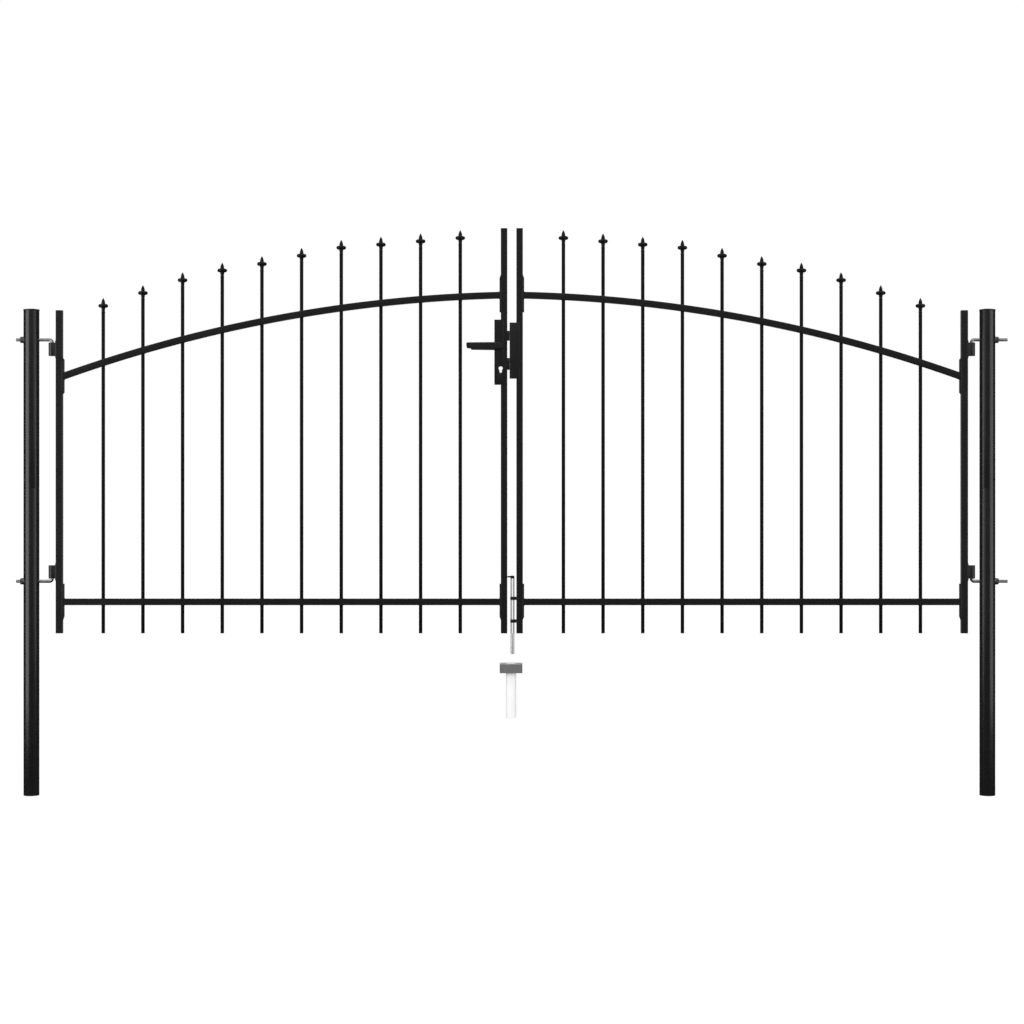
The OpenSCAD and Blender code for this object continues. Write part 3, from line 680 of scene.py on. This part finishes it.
def spearProfile():  # (radius, height) from the tip down
    half, tall = spear["pointWidth"] / 2, spear["pointHeight"]
    reach = (tall ** 2 + half ** 2) / (2 * half)
    whole = math.asin(tall / reach)
    profile = [(0, 0)]
    for k in range(1, spear["pointSteps"] + 1):
        turn = whole * (1 - k / spear["pointSteps"])
        profile.append((half - reach * (1 - math.cos(turn)), reach * math.sin(turn) - tall))
    bead = arcPoints(spear["beadMiddle"], -spear["beadAt"], spear["beadRound"],
                     spear["beadFrom"], spear["beadTo"], spear["beadSteps"])
    collar, foot = spear["collar"], -spear["height"]
    neck = filleted([(*bead[-1], 0), (spear["waist"], -spear["waistAt"], spear["waistRound"]),
                     (collar, spear["collarHeight"] + foot, spear["collarRound"]),
                     (collar, foot, spear["footRound"]), (0, foot, 0)])
    return profile + bead + neck[1:]


def buildSpearHeads(bm):
    profile = spearProfile()
    for x, tipZ in zip(picketXs, tipZs):
        addTurned(bm, profile, (x, 0, tipZ), steps=spear["steps"])


# plates, plugs and sleeves of a leaf

plate = {"thick": 4 * mm, "height": 112 * mm, "bevel": 11 * mm, "hingeBevel": 5.5 * mm,
         "meetingUp": 5.5 * mm, "meetingTaller": 1.5 * mm, "edge": 0.4 * mm}
plug = {"thick": 2.5 * mm, "cornerRound": 1.2 * mm, "edge": 0.6 * mm}
sleeve = {"webHalf": 8 * mm, "bore": 5.05 * mm, "boreSteps": 36, "edge": 0.6 * mm, "arcSteps": 40,
          "runThick": 2.3 * mm, "runBeyond": 10.5 * mm, "runSlope": 7 * mm, "runIn": 1 * mm,
          "runEdge": 0.5 * mm}
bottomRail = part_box("left_bottom_rail")
bottomRailZ = ((bottomRail[0] + bottomRail[1]) / 2).z


def buildRailPlates(bm):
    half, long, hinge = plate["height"] / 2, plate["bevel"], plate["hingeBevel"]
    hingeHigh = (archAt(railLow.x), half, hinge, hinge)
    meetingZ = archAt(railHigh.x) + plate["meetingUp"]
    meetingHigh = (meetingZ, half + plate["meetingTaller"], 0, long)
    for outer, way, high in ((railLow.x, 1, hingeHigh), (railHigh.x, -1, meetingHigh)):
        face = outer - way * plate["thick"]
        for z, tall, lowBevel, highBevel in ((bottomRailZ, half, long, 0), high):
            foot, top = z - tall, z + tall
            outline = [(face, foot), (outer, foot + lowBevel), (outer, top - highBevel),
                       (face, top)]
            if way < 0:
                outline.reverse()
            addPlate(bm, outline, -tube / 2, tube / 2, plate["edge"], edgeSteps=2)


def buildPlugs(bm):
    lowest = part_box("left_stile_plugs")[0].z
    for node in ("left_hinge_stile", "left_meeting_stile"):
        low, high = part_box(node)
        outline = roundedRect(low.x, low.y, high.x, high.y, plug["cornerRound"])
        for z in (lowest, high.z):
            addPlate(bm, outline, z, z + plug["thick"], plug["edge"], axis="z")


def buildSleeve(node):
    def build(bm):
        low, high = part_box(node)
        radius = (high.y - low.y) / 2
        pinX = low.x + radius
        web = sleeve["webHalf"]
        start = math.degrees(math.asin(web / radius))
        outline = arcPoints(pinX, 0, radius, start, 360 - start, sleeve["arcSteps"])
        outline += [(high.x, -web), (high.x, web)]
        bore = circlePoints(pinX, 0, sleeve["bore"], sleeve["boreSteps"])
        addPlate(bm, outline, low.z, high.z, sleeve["edge"], axis="z", holes=[bore])
        face, slope = high.x - sleeve["runThick"], sleeve["runSlope"]
        foot, top = low.z - sleeve["runBeyond"], high.z + sleeve["runBeyond"]
        run = [(high.x, foot), (high.x, top), (face, top - slope), (face, foot + slope)]
        half = web - sleeve["runIn"]
        addPlate(bm, run, -half, half, sleeve["runEdge"])  # weld run past both ends
    return build


# weld beads

weld = {"ripple": 2.3 * mm, "rippleShare": 0.13, "step": 0.6 * mm, "fewest": 4, "steps": 8,
        "ring": 1.1 * mm, "ringClear": 0.3 * mm, "seam": 1.3 * mm, "railIn": 1.2 * mm,
        "plateIn": 0.9 * mm, "endIn": 1 * mm}


def addBead(bm, points, size, closed=False):
    def swell(i):
        wave = math.sin(math.tau * i * weld["step"] / weld["ripple"])
        return size * (1 + weld["rippleShare"] * wave)

    addTube(bm, points, swell, weld["steps"], closed=closed)


def addSeam(bm, start, end):
    start, end = Vector(start), Vector(end)
    count = max(weld["fewest"], int((end - start).length / weld["step"]))
    addBead(bm, [start.lerp(end, k / count) for k in range(count + 1)], weld["seam"])


def buildWelds(bm):
    radius = picketRadius + weld["ringClear"]
    turns = fullTurn(int(math.tau * radius / weld["step"]))
    half = tube / 2
    for x in picketXs:  # round each picket, above and below both rails
        ring = [(x + radius * math.cos(t), radius * math.sin(t)) for t in turns]
        for off in (-half, half):
            level = [Vector((a, b, bottomRailZ + off)) for a, b in ring]
            addBead(bm, level, weld["ring"], closed=True)
            arched = [Vector((a, b, archAt(a, off))) for a, b in ring]
            addBead(bm, arched, weld["ring"], closed=True)
    inset, side = half - weld["railIn"], half - weld["plateIn"]
    tall = plate["height"] / 2 - plate["bevel"]
    for face, way in ((railLow.x, -1), (railHigh.x, 1)):
        slope = math.asin((arch["topX"] - face) / arch["radius"])
        stileFace = face + way * plate["thick"]
        for z, lift in ((bottomRailZ, half), (archAt(face), half / math.cos(slope))):
            for off in (-lift, lift):  # rail end to plate
                addSeam(bm, (face, -inset, z + off), (face, inset, z + off))
            for y in (-side, side):  # plate to stile
                addSeam(bm, (stileFace, y, z - tall), (stileFace, y, z + tall))
    end = inset - weld["endIn"]
    for node in ("left_upper_sleeve", "left_lower_sleeve"):
        low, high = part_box(node)
        for y in (-sleeve["webHalf"], sleeve["webHalf"]):
            addSeam(bm, (high.x, y, low.z + weld["endIn"]), (high.x, y, high.z - weld["endIn"]))
        for z in (low.z, high.z):
            addSeam(bm, (high.x, -end, z), (high.x, end, z))


leafPieces = [  # name, shape, slot, finish, node
    ("ArchedRail", buildArchedRail, "black_coat", blackCoat, "_arched_rail"),
    ("Pickets", buildPickets, "black_coat", picketCoat, "_pickets"),
    ("SpearHeads", buildSpearHeads, "spear_castings", spearCoat, "_spear_heads"),
    ("RailPlates", buildRailPlates, "black_coat", blackCoat, "_rail_plates"),
    ("StilePlugs", buildPlugs, "black_plastic", capPlastic, "_stile_plugs"),
    ("UpperSleeve", buildSleeve("left_upper_sleeve"), "black_coat", sleeveCoat, "_upper_sleeve"),
    ("LowerSleeve", buildSleeve("left_lower_sleeve"), "black_coat", sleeveCoat, "_lower_sleeve"),
]
for side in ("left", "right"):
    body = side + "_leaf"
    for name, build, slot, finish, node in leafPieces:
        makePiece(side + name, leafMesh(side, build), body, slot, finish, side + node)
    makePiece(side + "Welds", leafMesh(side, buildWelds), body, "black_coat", blackCoat, sharp=60)
print("leaves made")


# lock, bolts and keep

lock = {"corner": 1.2 * mm, "edge": 0.8 * mm, "coverIn": 1.4 * mm, "coverThick": 0.9 * mm,
        "coverEdge": 0.4 * mm, "keyAt": 49.5 * mm, "keyOff": 4.5 * mm, "keyRound": 6.5 * mm,
        "keySlotHalf": 3.75 * mm, "keyHeight": 21 * mm, "keySteps": 28, "slotSteps": 12}
keep = {"room": 0.5 * mm, "pocketCorner": 1 * mm, "pocketDepth": 16 * mm, "floorBack": 1 * mm,
        "floorGap": 0.05 * mm, "floorEdge": 0.1 * mm}
bolt = {"tipGap": 0.1 * mm, "deadCorner": 0.25 * mm, "deadEdge": 0.2 * mm, "latchBevel": 4 * mm,
        "bevelRound": 1.5 * mm, "latchTip": 0.3 * mm, "latchTail": 0.5 * mm, "latchEdge": 0.25 * mm}
lockLow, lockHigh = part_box("lock_case")
lockMiddle = (lockLow + lockHigh) / 2


def keyOutline(grow=0.0):  # the round on top and the slot under it, anticlockwise
    x, z = lockMiddle.x + lock["keyOff"], lockMiddle.z - lock["keyAt"]
    big, small = lock["keyRound"] + grow, lock["keySlotHalf"] + grow
    foot = z + lock["keyRound"] - lock["keyHeight"] + lock["keySlotHalf"]
    meet = math.degrees(math.acos(small / big))
    head = arcPoints(x, z, big, -meet, 180 + meet, lock["keySteps"])
    return head + arcPoints(x, foot, small, 180, 360, lock["slotSteps"])


def makeLockCase():
    bm = bmesh.new()
    cover, edge = lock["coverThick"], lock["coverEdge"]
    outline = roundedRect(lockLow.x, lockLow.z, lockHigh.x, lockHigh.z, lock["corner"])
    addPlate(bm, outline, lockLow.y + cover, lockHigh.y - cover, lock["edge"], holes=[keyOutline()])
    lid = insetLoop(outline, lock["coverIn"])
    for low in (lockLow.y, lockHigh.y - 2 * cover):
        addPlate(bm, lid, low, low + 2 * cover, edge, holes=[keyOutline(edge)])
    makePiece("lockBox", bm, "left_leaf", "lock_coat", lockCoat, "lock_case")


def makeKeep():
    low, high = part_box("keep")
    room = keep["room"]
    pockets = []
    for node in ("latch_bolt", "dead_bolt"):
        foot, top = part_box(node)
        pockets.append(roundedRect(foot.y - room, foot.z - room, top.y + room, top.z + room,
                                   keep["pocketCorner"]))
    bm = bmesh.new()
    outline = roundedRect(low.y, low.z, high.y, high.z, lock["corner"])
    addPlate(bm, outline, low.x, high.x, lock["edge"], axis="x", holes=pockets)
    for pocket in pockets:  # floor of the pocket
        addPlate(bm, insetLoop(pocket, keep["floorGap"]), low.x + keep["pocketDepth"],
                 high.x - keep["floorBack"], keep["floorEdge"], axis="x")
    makePiece("keepBox", bm, "right_leaf", "lock_coat", lockCoat, "keep")


def makeBolts():
    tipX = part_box("keep")[0].x - bolt["tipGap"]  # just clear of the keep
    low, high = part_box("dead_bolt")
    high.x = tipX
    outline = roundedRect(low.x, low.y, high.x, high.y, bolt["deadCorner"])
    bm = bmesh.new()
    addPlate(bm, outline, low.z, high.z, bolt["deadEdge"], axis="z")
    makePiece("deadBoltBar", bm, "left_leaf", "lock_coat", lockCoat, "dead_bolt")
    low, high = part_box("latch_bolt")
    high.x = tipX
    bevel, soft, tail = bolt["latchBevel"], bolt["bevelRound"], bolt["latchTail"]
    outline = filleted([(low.x, low.y, tail), (high.x, low.y, bolt["latchTip"]),
                        (high.x, high.y - bevel, soft), (high.x - bevel, high.y, soft),
                        (low.x, high.y, tail)], closed=True)
    bm = bmesh.new()
    addPlate(bm, outline, low.z, high.z, bolt["latchEdge"], axis="z")
    makePiece("latchTongue", bm, "latch", "dark_steel", latchSteel, "latch_bolt")


# lever handles

lever = {"bar": 11 * mm, "tipHeight": 19 * mm, "rootHeight": 21 * mm, "rise": 1.1 * mm,
         "notchLength": 12 * mm, "notchDepth": 4.2 * mm, "notchFall": 1 * mm, "notchRound": 1 * mm,
         "notchSlope": 3 * mm, "slopeRound": 1.5 * mm, "edge": 2.2 * mm, "corner": 3 * mm,
         "roundSteps": 5, "endShare": 0.95, "endSteps": 20}
neck = {"flange": 11 * mm, "flangeHeight": 3 * mm, "slimmer": 1.5 * mm, "sunk": 1 * mm,
        "slimRound": 0.5 * mm, "flangeRound": 0.6 * mm, "footRound": 0.4 * mm, "steps": 56}


def makeLever(face):
    low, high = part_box("lever_" + face)
    hubX, hubZ = lockMiddle.x, (low.z + high.z) / 2
    z = hubZ + lever["rise"]
    tip, root, corner = lever["tipHeight"] / 2, lever["rootHeight"] / 2, lever["corner"]
    notchX, notchZ = low.x + lever["notchLength"], z - tip + lever["notchDepth"]
    outline = filleted([(hubX, z + root, 0), (low.x, z + tip, corner),
                        (low.x, notchZ + lever["notchFall"], corner),
                        (notchX, notchZ, lever["notchRound"]),
                        (notchX + lever["notchSlope"], z - tip, lever["slopeRound"]),
                        (hubX, z - root, 0)], steps=lever["roundSteps"])
    around = high.x - hubX
    turn = math.degrees(math.asin(min(lever["endShare"], root / around)))
    outline += arcPoints(hubX, z, around, -turn, turn, lever["endSteps"])
    way = 1 if face == "front" else -1  # from the bar to the lock
    outer = low.y if face == "front" else high.y
    inner = outer + way * lever["bar"]
    bm = bmesh.new()
    addPlate(bm, outline, min(outer, inner), max(outer, inner), lever["edge"],
             edgeSteps=lever["roundSteps"])
    foot = high.y - low.y - lever["bar"]
    wide, slim = neck["flange"], neck["flange"] - neck["slimmer"]
    flangeAt, sunk = foot - neck["flangeHeight"], -neck["sunk"]
    profile = filleted([(0, sunk, 0), (slim, sunk, 0), (slim, flangeAt, neck["slimRound"]),
                        (wide, flangeAt, neck["flangeRound"]), (wide, foot, neck["footRound"]),
                        (0, foot, 0)])
    profile = [(radius, way * along) for radius, along in profile]
    addTurned(bm, profile, (hubX, inner, hubZ), axis="y", steps=neck["steps"])
    name = "lever" + face.capitalize() + "Handle"
    makePiece(name, bm, "lever", "lock_coat", lockCoat, "lever_" + face)


makeLockCase()
makeKeep()
makeBolts()
makeLever("front")
makeLever("back")
print("lock made")


# drop bolt, guides and ground socket

rod = {"radius": 6 * mm, "foot": 5.2 * mm, "footRound": 0.4 * mm, "taper": 2 * mm,
       "taperRound": 1 * mm, "topRound": 1.2 * mm, "pin": 2.5 * mm, "pinRound": 0.8 * mm,
       "pinDown": 3.4 * mm, "pinClear": 0.6 * mm, "pinSteps": 28, "dip": 8.8 * mm,
       "dipSkin": 0.15 * mm, "dipRound": 0.3 * mm, "intoDip": 1 * mm, "steps": 40}
guide = {"edge": 0.9 * mm, "height": 8 * mm, "taller": 0.9 * mm, "half": 8 * mm,
         "bore": 6.1 * mm, "boreSteps": 36, "eye": 7.2 * mm, "eyeSteps": 32}
socket = {"edge": 1.8 * mm, "edgeSteps": 4, "corner": 3.5 * mm, "wall": 2 * mm, "wider": 1.2 * mm,
          "boreClear": 0.1 * mm, "boreSteps": 48, "footRound": 1 * mm, "rimRound": 0.6 * mm,
          "steps": 56}


def makeDropRod():
    low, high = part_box("drop_rod")
    radius = rod["radius"]
    x = high.x - radius
    dipZ = high.z - rod["dip"]
    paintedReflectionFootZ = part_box("right_stile_plugs")[0].z  # plain grey below the leaf; above it the bar carries the painted reflection, bright with dark edges
    barTop = dipZ + rod["intoDip"]
    outline = [(0, paintedReflectionFootZ), (radius, paintedReflectionFootZ), (radius, barTop), (0, barTop)]
    bm = turnedMesh(outline, x, rod["steps"])
    makePiece("dropRodBar", bm, "drop_bolt", "zinc_steel", rodPaintedReflection, "drop_rod")
    outline = filleted([(0, low.z, 0), (rod["foot"], low.z, rod["footRound"]),
                        (radius, low.z + rod["taper"], rod["taperRound"]),
                        (radius, paintedReflectionFootZ, 0), (0, paintedReflectionFootZ, 0)])
    bm = turnedMesh(outline, x, rod["steps"])
    makePiece("dropRodFoot", bm, "drop_bolt", "zinc_steel", rodSteel)
    wide = radius + rod["dipSkin"]
    outline = filleted([(0, dipZ, 0), (wide, dipZ, rod["dipRound"]),
                        (wide, high.z, rod["topRound"]), (0, high.z, 0)])
    bm = turnedMesh(outline, x, rod["steps"])
    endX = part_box("left_meeting_stile")[1].x + rod["pinClear"]
    reach = x - endX
    outline = filleted([(0, 0, 0), (rod["pin"], 0, rod["pinRound"]), (rod["pin"], reach, 0),
                        (0, reach, 0)])
    addTurned(bm, outline, (endX, 0, high.z - rod["pinDown"]), axis="x", steps=rod["pinSteps"])
    makePiece("dropRodGrip", bm, "drop_bolt", "black_plastic", capPlastic)


def makeRodGuides():
    low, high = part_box("rod_guides")
    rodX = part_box("drop_rod")[1].x - rod["radius"]
    half, height = guide["half"], guide["height"]
    outline = arcPoints(rodX, 0, guide["eye"], 90, 270, guide["eyeSteps"])
    outline += [(high.x, -half), (high.x, half)]
    bore = circlePoints(rodX, 0, guide["bore"], guide["boreSteps"])
    bm = bmesh.new()
    for z in (low.z, high.z - height):
        foot, top = z - guide["taller"], z + height + guide["taller"]
        addPlate(bm, outline, foot, top, guide["edge"], axis="z", holes=[bore])
        for y in (-half, half):
            addSeam(bm, (high.x, y, z + weld["endIn"]), (high.x, y, z + height - weld["endIn"]))
    makePiece("rodGuideEyes", bm, "right_leaf", "black_coat", blackCoat, "rod_guides")


def makeGroundSocket():
    low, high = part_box("ground_block")
    tubeLow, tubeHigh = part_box("ground_tube")
    radius = (tubeHigh.x - tubeLow.x) / 2 + socket["wider"]
    x = (tubeLow.x + tubeHigh.x) / 2
    outline = roundedRect(low.x, low.y, high.x, high.y, socket["corner"])
    bore = circlePoints(x, 0, radius + socket["boreClear"], socket["boreSteps"])
    bm = bmesh.new()
    addPlate(bm, outline, low.z, high.z, socket["edge"], axis="z", holes=[bore],
             edgeSteps=socket["edgeSteps"])
    makePiece("groundBlock", bm, "posts", "grey_plastic", blockPlastic, "ground_block")
    inner, floorZ = radius - socket["wall"], tubeLow.z + socket["wall"]
    profile = filleted([(0, tubeLow.z, 0), (radius, tubeLow.z, socket["footRound"]),
                        (radius, tubeHigh.z, socket["rimRound"]),
                        (inner, tubeHigh.z, socket["rimRound"]),
                        (inner, floorZ, socket["footRound"]), (0, floorZ, 0)])
    bm = turnedMesh(profile, x, socket["steps"])
    makePiece("groundTube", bm, "posts", "white_plastic", tubePlastic, "ground_tube")


makeDropRod()
makeRodGuides()
makeGroundSocket()
print("drop bolt and ground socket made")


# finishes on the solids that stay

for name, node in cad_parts.items():
    node.data.materials.clear()
    node.data.materials.append(zincPlate if name == "lever_spindle" else blackCoat)


# camera, light and stage

view = {"distance": 6.38, "height": 0.8745, "right": 0.5 * mm, "lens": 72.63, "clipEnd": 200}
camera = bpy.data.objects.new("camera", bpy.data.cameras.new("camera"))
camera.data.lens = view["lens"]
camera.data.clip_end = view["clipEnd"]
camera.location = (midX + view["right"], -view["distance"], view["height"])
camera.rotation_euler = (math.pi / 2, 0, 0)
bpy.context.scene.collection.objects.link(camera)
bpy.context.scene.camera = camera
bpy.context.scene.view_settings.view_transform = "Standard"

studio = {"fill": 0.76, "white": 1.0, "floorSide": 60, "floorDown": 1 * mm, "floorTone": 0.9,
          "floorBlend": 0.75, "floorGlow": 1.14}
cards = {  # upright, between two points on the ground; seen only in reflections, the dark ones paint shade and leftGlow and rightGlow paint highlights
    "frontCard": {"tone": 0.16, "start": (-7, -9.5), "end": (7, -9.5), "height": 6},
    "backCard": {"tone": 0.01, "start": (-8, 4), "end": (8, 4), "height": 8},
    "backMiddle": {"tone": 0.2, "start": (-1.3, 3.9), "end": (1.3, 3.9), "height": 8},
    "leftCard": {"tone": 0.01, "start": (-8, -1), "end": (-8, 4), "height": 8},
    "rightCard": {"tone": 0.01, "start": (8, -1), "end": (8, 4), "height": 8},
    "leftGlow": {"tone": 3.3, "start": (-2.14, -1.26), "end": (-2.8, -0.36), "height": 2.2},
    "rightGlow": {"tone": 2.1, "start": (2.14, -1.26), "end": (2.8, -0.36), "height": 2.2},
}
# painted shade: a dark sheet on the floor, seen only in reflections from below
floorCard = {"tone": 0.06, "corners": [(-8, -9.5, 0), (8, -9.5, 0), (8, 4, 0), (-8, 4, 0)]}
lamps = {
    "frontSoftbox": {"place": (midX - 0.6, -5.7, 2.5), "size": (4.0, 3.0), "power": 125},
    "topSoftbox": {"place": (midX, -1.0, 5.5), "size": (4.0, 2.5), "power": 30},
}
aim = Vector((midX, 0, 0.9))


def seenDirectly(tree):  # 1 for camera, glossy and transmission rays
    path = addNode(tree, "LightPath").outputs
    pair = mathOf(tree, "MAXIMUM", path["Is Camera Ray"], path["Is Glossy Ray"])
    return mathOf(tree, "MAXIMUM", pair, path["Is Transmission Ray"])


def bareMaterial(name):  # without the standard shader
    material, tree, shader = newMaterial(name)
    tree.nodes.remove(shader)
    return material, tree, tree.nodes["Material Output"].inputs["Surface"]


def makeSheet(name, corners, material):
    mesh = bpy.data.meshes.new(name)
    mesh.from_pydata(corners, [], [range(len(corners))])
    mesh.materials.append(material)
    sheet = bpy.data.objects.new(name, mesh)
    bpy.context.scene.collection.objects.link(sheet)
    return sheet


def glowAt(tree, strength):
    return addNode(tree, "Emission", {"Color": (1, 1, 1, 1), "Strength": strength}).outputs[0]


def makeWorld():
    world = bpy.data.worlds.new("studio")
    bpy.context.scene.world = world
    world.use_nodes = True
    tree = world.node_tree
    background = tree.nodes["Background"]
    background.inputs["Color"].default_value = (1, 1, 1, 1)
    level = mapValue(tree, seenDirectly(tree), 0.0, 1.0, studio["fill"], studio["white"])
    tree.links.new(level, background.inputs["Strength"])


def makeFloor():
    material, tree, surface = bareMaterial("paleFloor")
    matte = addNode(tree, "BsdfDiffuse", {"Color": grey(studio["floorTone"])}).outputs[0]
    glow = glowAt(tree, studio["floorGlow"])
    share = mathOf(tree, "MULTIPLY", seenDirectly(tree), studio["floorBlend"])
    blend = addNode(tree, "MixShader", {0: share, 1: matte, 2: glow}).outputs[0]
    tree.links.new(blend, surface)
    reach, z = studio["floorSide"] / 2, -studio["floorDown"]
    corners = [(-reach, -reach), (reach, -reach), (reach, reach), (-reach, reach)]
    makeSheet("floor", [(midX + x, y, z) for x, y in corners], material)


def makeCard(name, tone, corners):  # a sheet that only shows in reflections and lights nothing: painted shade when dark, painted highlight when bright
    material, tree, surface = bareMaterial(name)
    tree.links.new(glowAt(tree, tone), surface)
    card = makeSheet(name, [(midX + x, y, z) for x, y, z in corners], material)
    for ray in ("camera", "diffuse", "shadow", "transmission"):
        setattr(card, "visible_" + ray, False)


def addLamp(name, place, size, power):
    lamp = bpy.data.objects.new(name, bpy.data.lights.new(name, "AREA"))
    lamp.data.shape = "RECTANGLE"
    lamp.data.size, lamp.data.size_y = size
    lamp.data.energy = power
    lamp.location = place
    lamp.rotation_euler = (aim - Vector(place)).to_track_quat("-Z", "Y").to_euler()
    lamp.visible_camera = lamp.visible_glossy = False
    bpy.context.scene.collection.objects.link(lamp)


makeWorld()
makeFloor()
for name, card in cards.items():
    start, end, top = card["start"], card["end"], card["height"]
    makeCard(name, card["tone"], [(*start, 0), (*end, 0), (*end, top), (*start, top)])
makeCard("floorCard", **floorCard)
for name, lamp in lamps.items():
    addLamp(name, **lamp)
print("stage made")
